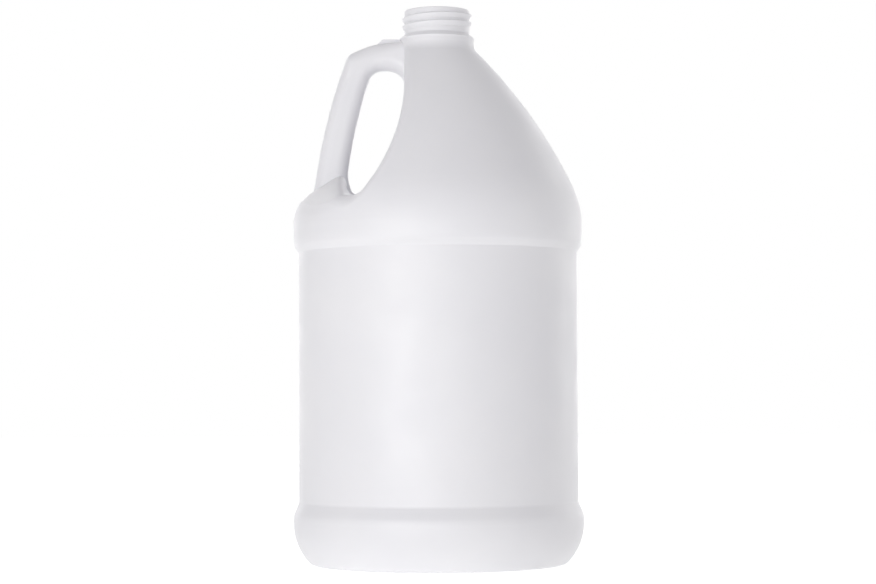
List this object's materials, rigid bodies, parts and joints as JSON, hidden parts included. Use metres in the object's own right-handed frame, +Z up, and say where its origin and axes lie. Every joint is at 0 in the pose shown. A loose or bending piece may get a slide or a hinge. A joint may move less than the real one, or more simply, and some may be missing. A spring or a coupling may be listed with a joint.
{
  "type": "gallon jug",
  "caption": "Round blow-moulded plastic jug with a hollow side grip, a recessed label panel between bumper bands, a push-up base and an open screw neck.",
  "frame": {"origin": "centre of the standing ring, on the surface that the jug stands on", "axes": "+Z up the axis of the body and neck, -X towards the grip, Y across the mould's parting plane"},
  "size_m": [0.1538, 0.1538, 0.2959],
  "materials": {
    "white_plastic": "satin white polyethylene"
  },
  "bodies": {
    "root": {"jug": "white_plastic"}
  },
  "joints": []
}
